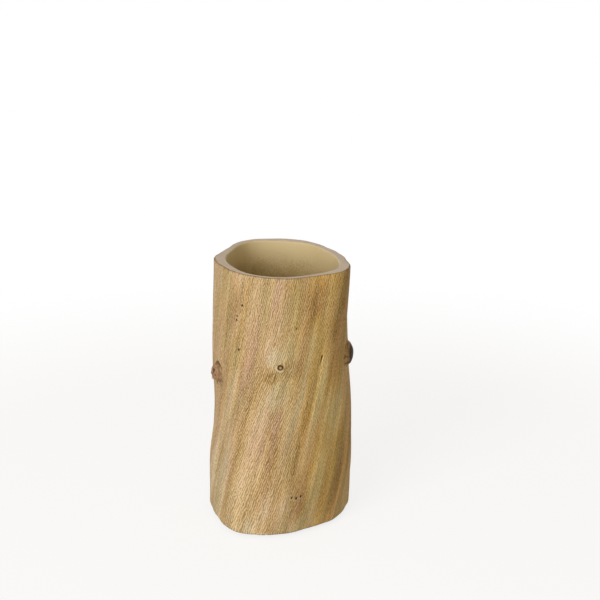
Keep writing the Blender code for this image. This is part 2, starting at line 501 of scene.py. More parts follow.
@dataclass(frozen=True)
class DomedMark(SurfaceMark):
    """A mark that stands out of the log as the top of an egg, sunk by its root.

    The fibres part round a post in its middle, as water does.
    """

    rise: float
    root: float
    post: float

    def part_fibres(self, skin: Skin) -> None:
        """Leads the fibres round the post.

        Args:
            skin: the log's skin.
        """
        across, along = self.spread(skin)
        near = np.hypot(across, along)
        fade = 1 - smooth_step(near, 4 * self.post, 9 * self.post)
        drawn_in = across * self.post**2 / np.maximum(near, self.post) ** 2 * fade
        skin.fibres -= np.degrees(drawn_in / skin.shape.radius)

    def raise_dome(self, skin: Skin, oval: ndarray, lean: ndarray | float = 1.0) -> None:
        """Lifts the skin to the egg where the egg stands higher.

        Args:
            skin: the log's skin.
            oval: the mark's oval at each place.
            lean: how much more of the egg's height each place gets.
        """
        shape = skin.shape
        middle = float(shape.outer_radius(np.array(self.angle), np.array(self.height)))
        dome = np.sqrt(np.clip(1 - oval**2, 0, 1)) * lean
        egg = (self.rise + self.root) * dome - self.root
        turn = np.radians(np.clip(self.turn_from(skin.angles), -60, 60))
        plain = shape.outer_radius(skin.angles, skin.heights)
        lift = (middle + egg) / np.cos(turn) - plain
        skin.relief = np.where(oval < 1, np.maximum(skin.relief, lift), skin.relief)

    def ring_face(self, skin: Skin, oval: ndarray) -> None:
        """Sets the distances for the growth rings on the mark's face."""
        skin.rings = np.where(oval < 1.5, oval * self.width / 2, skin.rings)


@dataclass(frozen=True)
class BranchStub(DomedMark):
    """The stub of a sawn branch: wood flows up its sides to a dark end with growth rings, dark from
    stain and from painted shade.
    """

    uneven: float = 0.08
    droop: float = 0.12
    end_share: float = 0.72
    saw_step: float = 0.00012
    pit_depth: float = 0.00035
    pit_size: float = 0.0012
    wrinkle: float = 0.00010
    wrinkle_count: int = 13
    end_grain: float = 0.55
    # Painted shade as well as stain: how much the stub's body and its end are darkened
    side_stain_and_shade: float = 0.34
    end_stain_and_shade: float = 0.62
    pit_stain: float = 0.7

    def press(self, skin: Skin) -> None:
        """Raises the stub, cuts its end, pits its root and stains them, with painted shade on its
        body and end.

        Args:
            skin: the log's skin.
        """
        across, along = self.spread(skin)
        around = np.arctan2(along, across)
        bumps = smooth_noise(1.3 * np.cos(around), 1.3 * np.sin(around), 4.1)
        oval = self.oval(across, along) * (1 + self.uneven * bumps)
        self.raise_dome(skin, oval, 1 - self.droop * along / (self.length / 2) * oval)
        end = 1 - smooth_step(oval, self.end_share - 0.06, self.end_share + 0.06)
        sides = smooth_step(oval, self.end_share, 0.85) * (1 - smooth_step(oval, 1.0, 1.3))
        wrinkles = np.sin(self.wrinkle_count * around + 7 * oval) * sides
        skin.relief += self.wrinkle * wrinkles - self.saw_step * end
        speckle = smooth_noise(across / self.pit_size, along / self.pit_size, 9.7)
        root = bell(oval, 1.02, 0.12) + bell(oval, self.end_share + 0.12, 0.08)
        pits = smooth_step(speckle, 0.05, 0.35) * np.minimum(root, 1)
        skin.relief -= self.pit_depth * pits
        body = 1 - smooth_step(oval, 0.8, 1.1)
        skin.show(knot=self.end_grain * body, hollow=self.pit_stain * pits)
        # Painted shade as well as stain: the stub's body and its end are darkened
        skin.show(hollow=self.side_stain_and_shade * body + self.end_stain_and_shade * end)
        self.ring_face(skin, oval)


@dataclass(frozen=True)
class SmallKnot(DomedMark):
    """A small knot broken off short, with a torn face, a ragged edge and one pale lip, pale from
    wear and from a painted highlight.
    """

    ragged: float = 0.16
    crease_depth: float = 0.00040
    tear_size: float = 0.0012
    tear_depth: float = 0.00050
    lip_rise: float = 0.00085
    end_grain: float = 0.85
    crease_stain: float = 0.9
    face_stain: float = 0.16
    crack_stain: float = 0.7
    # Painted shade as well as stain on the lower right of the knot's edge
    edge_stain_and_shade: float = 0.6

    def press(self, skin: Skin) -> None:
        """Raises the knot, tears its face and creases its edge, most of all above.

        Args:
            skin: the log's skin.
        """
        across, along = self.spread(skin)
        around = np.arctan2(along, across)
        bumps = smooth_noise(2.1 * np.cos(around), 2.1 * np.sin(around), 2.2)
        oval = self.oval(across, along) * (1 + self.ragged * bumps)
        self.raise_dome(skin, oval)
        face = 1 - smooth_step(oval, 0.8, 1.0)
        tears = smooth_noise(across / self.tear_size, along / self.tear_size, 7.3)
        above = smooth_step(np.cos(around - 2.3), -0.1, 0.8)
        crease = bell(oval, 1.0, 0.11) * (0.45 + 0.55 * above)
        cracks = smooth_step(-tears, 0.15, 0.45) * face
        speckle = smooth_noise(across / self.tear_size, along / self.tear_size, 3.9)
        # Painted shade as well as stain: the lower right of the knot's edge is darkened
        stain = bell(oval, 1.15, 0.3) * smooth_step(np.cos(around + 0.9), 0.3, 0.9)
        stain *= smooth_step(speckle, -0.3, 0.3)
        # Painted highlight as well as wear: the lip at the lower left is painted pale
        lip = bell(oval, 0.84, 0.20) * smooth_step(np.cos(around + 2.25), 0.6, 0.9)
        skin.relief += self.tear_depth * tears * face
        skin.relief += self.lip_rise * lip - self.crease_depth * crease
        torn = self.face_stain * face + self.crack_stain * cracks
        dark = np.maximum(np.maximum(self.crease_stain * crease, torn), self.edge_stain_and_shade * stain)
        body = 1 - smooth_step(oval, 0.8, 1.1)
        skin.show(knot=self.end_grain * body, hollow=dark * (1 - lip), worn=lip)
        self.ring_face(skin, oval)


@dataclass(frozen=True)
class TwigScar(DomedMark):
    """The scar of a twig: a low swelling with a dark ring pressed into its top."""

    ring_radius: float = 0.0010
    groove: float = 0.00032
    groove_depth: float = 0.00035
    lip_gap: float = 0.00075
    lip_rise: float = 0.00018
    open_side: float = 0.45
    pith_wear: float = 0.4

    def press(self, skin: Skin) -> None:
        """Raises the swelling, presses the ring in and leaves a pale lip below it, pale from wear
        and from a painted highlight.

        Args:
            skin: the log's skin.
        """
        across, along = self.spread(skin)
        self.raise_dome(skin, self.oval(across, along))
        around = np.arctan2(along, across)
        near = np.hypot(across, along) * (1 + 0.05 * np.cos(4 * around + 0.8))
        ring = np.minimum(1.4 * bell(near, self.ring_radius, self.groove), 1)
        below = smooth_step(-np.sin(around + 0.35), -0.1, 0.5)
        lip = bell(near, self.ring_radius + self.lip_gap, 1.5 * self.groove) * below
        skin.relief += self.lip_rise * lip - self.groove_depth * ring
        opened = smooth_step(np.cos(around + 0.9), 0.5, 1.0)
        pith = 1 - smooth_step(near, 0.5 * self.groove, 2 * self.groove)
        skin.show(hollow=ring * (1 - self.open_side * opened), worn=self.pith_wear * pith)
        # Painted highlight as well as wear: the lip below the ring is painted pale
        skin.show(worn=lip)


@dataclass(frozen=True)
class BeetleHole(SurfaceMark):
    """A round hole left by a wood beetle."""

    depth: float = 0.00080

    def press(self, skin: Skin) -> None:
        """Sinks the hole and darkens it.

        Args:
            skin: the log's skin.
        """
        oval = self.oval(*self.spread(skin))
        skin.relief -= self.depth * (1 - smooth_step(oval, 0.55, 1.15))
        skin.show(hollow=1 - smooth_step(oval, 0.8, 1.5))


@dataclass(frozen=True)
class GrainSplit(SurfaceMark):
    """A split along the grain, widest near its top end and running out below."""

    depth: float = 0.00060
    widest_share: float = 0.75

    def press(self, skin: Skin) -> None:
        """Opens the split and darkens it.

        Args:
            skin: the log's skin.
        """
        across, along = self.spread(skin)
        place = along / self.length + 0.5
        rising = np.clip(place / self.widest_share, 0, 1)
        closing = np.clip((1 - place) / (1 - self.widest_share), 0, 1)
        half = self.width / 2 * np.minimum(rising, closing)
        side = np.abs(across) / np.maximum(half, 0.02 * self.width)
        opening = (1 - smooth_step(side, 0.5, 1.3)) * smooth_step(half / self.width, 0.05, 0.3)
        skin.relief -= self.depth * opening
        skin.show(hollow=opening)


@dataclass(frozen=True)
class Nick(SurfaceMark):
    """A small nick with a torn pale lip below it."""

    depth: float = 0.00050
    lip_rise: float = 0.00012
    lip_wear: float = 0.8

    def press(self, skin: Skin) -> None:
        """Cuts the nick and lifts its lip.

        Args:
            skin: the log's skin.
        """
        across, along = self.spread(skin)
        oval = self.oval(across, along)
        lip = bell(oval, 1.45, 0.35) * smooth_step(-along / self.length, -0.2, 0.5)
        skin.relief += self.lip_rise * lip - self.depth * (1 - smooth_step(oval, 0.5, 1.1))
        skin.show(hollow=1 - smooth_step(oval, 0.7, 1.2), worn=self.lip_wear * lip)


@dataclass(frozen=True)
class ChippedEdge(SurfaceMark):
    """A stretch of the base edge with small chips that show pale resin."""

    depth: float = 0.00030
    chip_size: float = 0.0011

    def press(self, skin: Skin) -> None:
        """Breaks chips out of the edge.

        Args:
            skin: the log's skin.
        """
        sideways = skin.shape.radius * np.radians(self.turn_from(skin.angles))
        stretch = 1 - smooth_step(np.abs(sideways), 0.35 * self.width, 0.5 * self.width)
        edge = 1 - smooth_step(skin.heights, 0.5 * self.length, self.length)
        bits = smooth_noise(sideways / self.chip_size, skin.heights / self.chip_size, 0.5)
        chips = smooth_step(bits, 0.0, 0.3) * stretch * edge
        skin.relief -= self.depth * chips
        skin.show(worn=chips)


@dataclass(frozen=True)
class GrainDrift:
    """A stretch low on the log where the fibres stand more upright than the cast relief."""

    start: float = 250.0
    reach: float = 60.0
    top: float = 0.070
    turn: float = 20.0

    def lead(self, skin: Skin) -> None:
        """Leads the fibres round, most of all at the base."""
        low = np.clip(1 - skin.heights / self.top, 0, 1) ** 2
        skin.fibres -= self.turn * bell(skin.fibres, self.start, self.reach) * low


@dataclass(frozen=True)
class WipedStreak:
    """A soft-edged streak that the wiping left along the fibres.

    The fibre is the angle at the base that its middle line rises from.
    """

    fibre: float
    height: float
    width: float
    length: float
    tone: float
    tint: float
    softness: float = 0.85

    def wipe(self, skin: Skin) -> None:
        """Changes the stain's tone and tint.

        Args:
            skin: the log's skin.
        """
        away = (skin.fibres - self.fibre + 180) % 360 - 180
        across = skin.shape.radius * np.radians(away) / (self.width / 2)
        along = (skin.heights - self.height) / (self.length / 2)
        streak = bell(np.hypot(across, along), 0, self.softness)
        skin.tone += self.tone * streak
        skin.tint += self.tint * streak


@dataclass(frozen=True)
class GrainRidges:
    """Ridges of weathered grain along the fibres. The height is how far they stand out."""

    width: float
    length: float
    height: float

    def raise_on(self, skin: Skin) -> None:
        """Raises the ridges along the skin's fibres.

        Args:
            skin: the log's skin.
        """
        turn = np.radians(skin.fibres)
        x, y = (skin.shape.radius * side / self.width for side in (np.cos(turn), np.sin(turn)))
        skin.relief += self.height * smooth_noise(x, y, skin.heights / self.length)


@dataclass(frozen=True)
class WoodLookStain:
    """Stain wiped by hand over cast polyester resin, in soft streaks along the cast grain.

    The casting is filled with stone powder, so it is opaque. The stain lies thin on the ridges
    and gathers in the hollows, and dries satin: broad soft gloss, no clear reflection. Each size
    is a width across the grain and a length along it, in millimetres, and the rings' gap is in
    millimetres too. Fibre_lines is how many fibres stand round the log.
    """

    name: str = "wood_look_stain_wiped_on_cast_resin"
    band_size: tuple[float, float] = (7.0, 48.0)
    # From dark through tan and light to cream
    bands: tuple[tuple[float, str], ...] = (
        (0.13, "#AE7D2E"), (0.37, "#D3A455"), (0.60, "#EDC482"), (0.87, "#FADEA8")
    )
    pressing: float = 0.76
    tint_size: tuple[float, float] = (7.0, 45.0)
    tint_range: tuple[float, float] = (0.42, 0.86)
    tint_strength: float = 0.85
    tint_lean: float = 0.6
    pink: str = "#ECBB90"
    olive: str = "#D2B468"
    # Painted light and shade: a greyer tint for the lit left-hand side and a more ochre one for the
    # shaded right
    painted_lit_side_grey: str = "#E2E6F6"
    painted_shade_side_gold: str = "#FFFFE0"
    side_reach: float = 0.018
    streak_sizes: tuple[tuple[float, float], ...] = ((2.4, 34.0), (1.2, 24.0))
    streak_depths: tuple[float, float] = (0.14, 0.10)
    streak_range: tuple[float, float] = (0.34, 0.66)
    fibre_lines: float = 225.0
    fibre_slant: float = 7.0
    fibre_wander: float = 8.0
    wander_size: tuple[float, float] = (1.4, 3.0)
    grit_size: tuple[float, float] = (0.45, 0.9)
    grit_range: tuple[float, float] = (0.3, 0.7)
    grit: float = 0.7
    fibre_strength: float = 0.5
    fibre_relief: float = 0.00003
    fibre_dark: str = "#74522A"
    fibre_pale: str = "#EEDDB8"
    ring_gap: float = 0.9
    ring_strength: float = 0.35
    knot: str = "#BB9270"
    # Dark stain, which on the stub and on the knot's lower edge is also painted shade
    hollow: str = "#3A2208"
    # Pale wear, which on the lips of the knot and the twig scar is also a painted highlight
    worn: str = "#E6D3AE"
    roughness: float = 0.6
    specular: float = 0.14

    def pattern(
        self, tree: NodeTree, size: tuple[float, float], shift: float, detail: float = 1.0
    ) -> Node:
        """Lays a noise along the fibres.

        Args:
            tree: the material's tree.
            size: the width and the length of a streak.
            shift: moves the pattern, so that two of them don't match.
            detail: how much finer noise lies on it.

        Returns:
            The noise, from 0 to 1.
        """
        grain = add_node(tree, "Attribute", {"attribute_name": "grain"}).outputs["Vector"]
        across, along = (PER_MM / side for side in size)
        places = {"Vector": grain, "Location": (shift,) * 3, "Scale": (across, across, along)}
        laid = add_node(tree, "Mapping", inputs=places)
        return add_node(tree, "TexNoise", inputs={"Vector": laid, "Scale": 1.0, "Detail": detail})

    def dashes(self, tree: NodeTree) -> Node:
        """Draws the fibres as fine lines round the log, wandering, with fine grit between.

        They slant a few degrees more than the cast grain.

        Args:
            tree: the material's tree.

        Returns:
            Negative between the fibres and positive on them, to about 1.7.
        """
        grain = add_node(tree, "Attribute", {"attribute_name": "grain"}).outputs["Vector"]
        place = add_node(tree, "SeparateXYZ", inputs=(grain,)).outputs
        around = add_node(tree, "Math", {"operation": "ARCTAN2"}, (place["Y"], place["X"]))
        slant = self.fibre_lines * math.tan(math.radians(self.fibre_slant)) / LogShape.radius
        wander = self.pattern(tree, self.wander_size, 5.1, 0.0)
        phase = 0.0
        turns = ((around, self.fibre_lines), (place["Z"], -slant), (wander, self.fibre_wander))
        for value, scale in turns:
            phase = add_node(tree, "Math", SCALE_AND_ADD, (value, scale, phase))
        lines = add_node(tree, "Math", {"operation": "SINE"}, (phase,))
        specks = self.pattern(tree, self.grit_size, 71.9, 0.0)
        grit = add_node(
            tree, "MapRange", inputs=(specks, *self.grit_range, -self.grit, self.grit)
        )
        return add_node(tree, "Math", {"operation": "ADD"}, (lines, grit))

    def material(self) -> Material:
        """Makes the stain's material.

        Returns:
            The material.
        """
        material, tree = new_material(self.name)
        tone, tint, ring = (
            add_node(tree, "Attribute", {"attribute_name": name}).outputs["Fac"]
            for name in ("tone", "tint", "rings")
        )

        # Broad wiped bands, 7 mm wide, paler or darker where the hand pressed
        band = self.pattern(tree, self.band_size, 0.0)
        wiped = add_node(tree, "Math", SCALE_AND_ADD, (tone, self.pressing, band))
        colour = add_node(tree, "ValToRGB", inputs=(wiped,), stops=self.bands)

        # Tints of a second and a third wipe
        for over, lean, shift in ((self.pink, 1, 11.3), (self.olive, -1, 23.9)):
            wipe = self.pattern(tree, self.tint_size, shift)
            taken = add_node(tree, "Math", SCALE_AND_ADD, (tint, lean * self.tint_lean, wipe))
            where = add_node(
                tree, "MapRange", inputs=(taken, *self.tint_range, 0.0, self.tint_strength)
            )
            mixed = {MIX_FACTOR: where, MIX_A: colour, MIX_B: over}
            colour = add_node(tree, "Mix", MIX_COLOURS, mixed)

        # Painted light and shade: the stain is greyed on the lit left-hand side and made more ochre
        # on the shaded right
        place = add_node(tree, "TexCoord").outputs["Object"]
        sideways = add_node(tree, "SeparateXYZ", inputs=(place,)).outputs["X"]
        where = add_node(tree, "MapRange", inputs=(sideways, 0.0, self.side_reach))
        sides = {MIX_FACTOR: where, MIX_A: self.painted_lit_side_grey, MIX_B: self.painted_shade_side_gold}
        shades = [add_node(tree, "Mix", MIX_COLOURS, sides)]

        # Finer streaks, 2.4 mm and 1.2 mm wide
        for size, depth, shift in zip(self.streak_sizes, self.streak_depths, (41.7, 61.3)):
            streaks = self.pattern(tree, size, shift)
            shade = (streaks, *self.streak_range, 1 - depth, 1 + depth)
            shades.append(add_node(tree, "MapRange", inputs=shade))
        for shade in shades:
            mixed = {MIX_FACTOR: 1.0, MIX_A: colour, MIX_B: shade}
            colour = add_node(tree, "Mix", {**MIX_COLOURS, "blend_type": "MULTIPLY"}, mixed)

        # Fibres, dark between and pale on top. Real ones are 0.1 mm wide: 0.8 mm apart to show.
        fibres = self.dashes(tree)
        for over, full in ((self.fibre_dark, -1.0), (self.fibre_pale, 1.0)):
            share = (fibres, 0.0, full, 0.0, self.fibre_strength)
            where = add_node(tree, "MapRange", inputs=share)
            mixed = {MIX_FACTOR: where, MIX_A: colour, MIX_B: over}
            colour = add_node(tree, "Mix", MIX_COLOURS, mixed)

        # Growth rings on cut knots, 0.9 mm apart
        turns = (ring, 2 * math.pi * PER_MM / self.ring_gap)
        phase = add_node(tree, "Math", {"operation": "MULTIPLY"}, turns)
        wave = add_node(tree, "Math", {"operation": "SINE"}, (phase,))
        where = add_node(tree, "MapRange", inputs=(wave, -1.0, 1.0, 0.0, self.ring_strength))
        ringed = {MIX_FACTOR: where, MIX_A: self.knot, MIX_B: self.hollow}
        cut = add_node(tree, "Mix", MIX_COLOURS, ringed)

        # Cut knots, then worn places with painted highlights, then stains with painted shade, each
        # over the last
        stains = {"knot": cut, "worn": self.worn, "hollow": self.hollow}
        surface = {
            "Base Color": stain_marks(tree, colour, stains),
            "Roughness": self.roughness,
            "Specular IOR Level": self.specular,
        }
        end_material(tree, fibres, self.fibre_relief, surface)
        return material


@dataclass(frozen=True)
class CloudyPaint:
    """Paint brushed or sprayed on cast resin: faint clouds, and a speckle on the resin's grit.

    The clouds and the grit are measured in millimetres. Cloudiness and speckle are how much the
    colour changes with each. Darkening_downwards is how much darker the colour turns below the
    heights, and paler above them. Edges next to the outside's stain take it too. Worn edges show
    pale resin, and the bore's inner edge is also painted pale as a highlight, most at the front.
    """

    name: str
    low: str
    high: str
    roughness: float
    specular: float
    cloud: float
    grit: float
    darkening_downwards: float = 0.0
    cloudiness: float = 1.0
    speckle: float = 0.35
    heights: tuple[float, float] = (0.090, 0.119)
    stops: tuple[float, float] = (0.35, 0.65)
    grit_relief: float = 0.00006
    stained: str = "#7A6244"
    # Pale wear, which on the bore's inner edge is also a painted highlight
    worn: str = "#E6D8B8"

    def material(self) -> Material:
        """Makes the paint's material.

        Returns:
            The material.
        """
        material, tree = new_material(self.name)
        place = add_node(tree, "TexCoord").outputs["Object"]
        clouds, grit = (
            add_node(
                tree, "TexNoise", inputs={"Vector": place, "Scale": PER_MM / size, "Detail": detail}
            )
            for size, detail in ((self.cloud, 4.0), (self.grit, 3.0))
        )
        middle = (1 - self.cloudiness - self.speckle) / 2
        height = add_node(tree, "SeparateXYZ", inputs=(place,)).outputs["Z"]
        # Darker towards the bottom and paler towards the top, by height
        height_shift = (height, *self.heights, middle - self.darkening_downwards, middle + self.darkening_downwards)
        laid = add_node(tree, "MapRange", inputs=height_shift)
        for pattern, share in ((clouds, self.cloudiness), (grit, self.speckle)):
            laid = add_node(tree, "Math", SCALE_AND_ADD, (pattern, share, laid))
        stops = tuple(zip(self.stops, (self.low, self.high)))
        colour = add_node(tree, "ValToRGB", inputs=(laid,), stops=stops)
        surface = {
            "Base Color": stain_marks(tree, colour, {"hollow": self.stained, "worn": self.worn}),
            "Roughness": self.roughness,
            "Specular IOR Level": self.specular,
        }
        end_material(tree, grit, self.grit_relief, surface)
        return material


@dataclass(frozen=True)
class ClearPolyurethane:
    """Clear soft polyurethane, poured into pads: glassy, with a faint haze and warm tint.

    The haze is measured in millimetres.
    """

    name: str = "clear_polyurethane_poured"
    tint: str = "#F2F2EA"
    roughness: float = 0.12
    ior: float = 1.5
    haze: float = 1.5
    haze_relief: float = 0.00002

    def material(self) -> Material:
        """Makes the pad's material.

        Returns:
            The material.
        """
        material, tree = new_material(self.name)
        place = add_node(tree, "TexCoord").outputs["Object"]
        cells = {"Vector": place, "Scale": PER_MM / self.haze, "Detail": 2.0}
        haze = add_node(tree, "TexNoise", inputs=cells)
        surface = {
            "Base Color": self.tint,
            "Roughness": self.roughness,
            "IOR": self.ior,
            "Transmission Weight": 1.0,
        }
        end_material(tree, haze, self.haze_relief, surface)
        return material


@dataclass(frozen=True)
class CastLogBody:
    """The cast body: the log's outside, its rim, its bore with the floor, and its underside."""

    shape: LogShape
    marks: tuple[SurfaceMark, ...]
    streaks: tuple[WipedStreak, ...]
    ridges: tuple[GrainRidges, ...]
    drift: GrainDrift
    name: str = "cast_log"
    node: str = "cup_body"
    column_gap: float = 0.00068
    row_gap: float = 0.0015
    edge_steps: int = 4
    bore_rows: int = 12
    fillet_steps: int = 7
    cap_shares: tuple[float, ...] = (0.15, 0.4, 0.65, 0.85, 0.96)
    rim_shares: tuple[float, ...] = (0.12, 0.5, 0.93)
    rim_line: float = 0.0005
    rim_line_stain: float = 0.42
    # Paleness of the bore's inner edge: wear and a painted highlight
    edge_wear_and_highlight: float = 0.8

    def columns(self) -> ndarray:
        """Places the mesh's columns, closer at the marks.

        Returns:
            The angles at the base from which the columns follow the grain.
        """
        shape = self.shape
        per_metre = math.degrees(1 / shape.radius)
        fine = []
        for mark in self.marks:
            start = (mark.angle - float(shape.grain_turn(mark.height))) % 360
            reach = mark.width / 2 * per_metre
            for turn in (-360, 0, 360):
                fine.append(FineStretch(start + turn, reach, mark.mesh_gap * per_metre))
        return line_places(0, 360, self.column_gap * per_metre, fine)[:-1]

    def outside_rows(self) -> ndarray:
        """Places the rows of the outside, closer at the marks and round its edges.

        Returns:
            The rows' heights, and how far the edges draw each row in.
        """
        shape = self.shape
        sine, cosine = quarter_turn(self.edge_steps)
        edge = shape.rim_outer_edge
        wall_top = shape.height - edge
        fine = [FineStretch(mark.height, mark.length / 2, mark.mesh_gap) for mark in self.marks]
        fine.append(FineStretch(wall_top, edge, edge / 2))
        wall = line_places(shape.base_edge, wall_top, self.row_gap, fine)[1:-1]
        stretches = (
            (shape.base_edge * (1 - cosine), shape.base_edge * (1 - sine)),
            (wall, np.zeros_like(wall)),
            (wall_top + edge * sine, edge * (1 - cosine)),
        )
        return np.hstack(stretches)

    def inside_rows(self) -> ndarray:
        """Places the rows of the bore, from the rim down to its floor.

        Returns:
            The rows' heights, and how far the edge and the fillet draw each row in.
        """
        shape = self.shape
        edge, fillet = shape.rim_inner_edge, shape.floor_fillet
        sine, cosine = quarter_turn(self.edge_steps)
        fillet_sine, fillet_cosine = quarter_turn(self.fillet_steps)
        low = shape.floor_thickness + fillet
        wall = np.linspace(shape.height - edge, low, self.bore_rows + 2)[1:-1]
        stretches = (
            (shape.height - edge * (1 - cosine), -edge * (1 - sine)),
            (wall, np.zeros_like(wall)),
            (low - fillet * fillet_sine, fillet * (1 - fillet_cosine)),
        )
        return np.hstack(stretches)

    def weathered_skin(self, heights: ndarray, columns: ndarray) -> Skin:
        """Lays out the outside, and gives it its ridges and marks.

        Args:
            heights: the height of each row.
            columns: the angle at the base of each column.

        Returns:
            The skin.
        """
        shape = self.shape
        high = np.repeat(heights[:, None], len(columns), axis=1)
        start = np.repeat(columns[None, :], len(heights), axis=0)
        blanks = [np.zeros_like(high) for _ in range(7)]
        skin = Skin(shape, start + shape.grain_turn(high), high, start, *blanks)
        for mark in self.marks:
            if isinstance(mark, DomedMark):
                mark.part_fibres(skin)
        for ridges in self.ridges:
            ridges.raise_on(skin)
        self.drift.lead(skin)
        for streak in self.streaks:
            streak.wipe(skin)
        for mark in self.marks:
            mark.press(skin)
        rim_line = smooth_step(high, shape.height - self.rim_line, shape.height)
        skin.show(hollow=self.rim_line_stain * rim_line)
        return skin

    def build(self, axis: tuple[float, float], underside: float) -> Object:
        """Builds the casting's mesh.

        Args:
            axis: the X and Y of the log's axis.
            underside: the height at which the casting's underside lies.

        Returns:
            The casting.
        """
        shape = self.shape
        columns = self.columns()
        heights, insets = self.outside_rows()
        skin = self.weathered_skin(heights, columns)
        outside = shape.outer_radius(skin.angles, skin.heights) - insets[:, None] + skin.relief
        rim_angles = skin.angles[-1]
        bore_heights, bore_insets = self.inside_rows()
        bore = shape.bore_radius(rim_angles, bore_heights[:, None]) - bore_insets[:, None]

        # Bands of rows from the underside's middle to the floor's: their radii, angles and heights
        caps = np.array(self.cap_shares)[:, None]
        rim = outside[-1] + (bore[0] - outside[-1]) * np.array(self.rim_shares)[:, None]
        bands = (
            (outside[0] * caps, skin.angles[0], 0.0),
            (outside, skin.angles, heights),
            (rim, rim_angles, shape.height),
            (bore, rim_angles, bore_heights),
            (bore[-1] * caps[::-1], rim_angles, shape.floor_thickness),
        )
        radii = np.concatenate([rows for rows, _, _ in bands])
        turn = np.radians(
            np.concatenate([np.broadcast_to(angles, rows.shape) for rows, angles, _ in bands])
        )
        levels = np.concatenate([np.broadcast_to(high, len(rows)) for rows, _, high in bands])
        x, y = axis[0] + radii * np.cos(turn), axis[1] + radii * np.sin(turn)
        z = np.repeat((underside + levels)[:, None], len(columns), axis=1)
        rings = np.stack((x, y, z), axis=-1)
        middles = [(*axis, underside), (*axis, underside + shape.floor_thickness)]
        mesh = ring_mesh(self.name, rings, middles)

        # Which surface each band of faces belongs to
        outside_start, rim_start, bore_start = np.cumsum([len(rows) for rows, _, _ in bands[:3]])
        edge_rows = self.edge_steps // 2
        slots = np.full(len(levels) - 1, int(Surface.UNDERSIDE))
        slots[outside_start:] = Surface.OUTSIDE
        slots[rim_start - 1 :] = Surface.RIM
        slots[bore_start + edge_rows :] = Surface.BORE
        ends = np.array((Surface.UNDERSIDE, Surface.BORE))
        slots = np.repeat(np.concatenate((slots, ends)), len(columns))
        mesh.polygons.foreach_set("material_index", slots)

        # What the materials read at each point, where the two middles come last
        rows = slice(outside_start, rim_start)
        grain = rings.copy()
        spun = np.radians(skin.fibres)
        on_log = (shape.radius * np.cos(spun), shape.radius * np.sin(spun), skin.heights)
        grain[rows] = np.stack(on_log, axis=-1)
        places = np.concatenate((grain.ravel(), np.ravel(middles)))
        mesh.attributes.new("grain", "FLOAT_VECTOR", "POINT").data.foreach_set("vector", places)
        for kind in ("hollow", "knot", "worn", "tone", "tint", "rings"):
            values = np.zeros(radii.shape)
            values[rows] = getattr(skin, kind)
            # Painted highlight as well as wear: the bore's inner edge is painted pale, most at the
            # front
            if kind == "worn":
                front = (1 - np.sin(np.radians(rim_angles))) / 2
                values[bore_start : bore_start + edge_rows + 1] = self.edge_wear_and_highlight * front**2
            values = np.concatenate((values.ravel(), (0, 0)))
            mesh.attributes.new(kind, "FLOAT", "POINT").data.foreach_set("value", values)
        return add_object(self.name, mesh)

    def dress(self, casting: Object) -> None:
        """Gives each surface its finish.

        Args:
            casting: the casting.
        """
        finishes = {
            Surface.OUTSIDE: WoodLookStain(),
            Surface.RIM: CloudyPaint(
                "taupe_paint_on_cast_resin", "#D7C3AA", "#E0CEB8",
                roughness=0.5, specular=0.35, cloud=6.0, grit=0.7,
            ),
            Surface.BORE: CloudyPaint(
                "khaki_paint_sprayed_on_cast_resin", "#AE8F4A", "#E0CC9C",
                roughness=0.5, specular=0.3, cloud=9.0, grit=0.6, darkening_downwards=0.24, cloudiness=0.3,
            ),
            Surface.UNDERSIDE: CloudyPaint(
                "bare_ground_cast_resin", "#C0AD8B", "#D0BF9F",
                roughness=0.7, specular=0.3, cloud=5.0, grit=0.5,
            ),
        }
        for surface in Surface:
            casting.data.materials.append(finishes[surface].material())


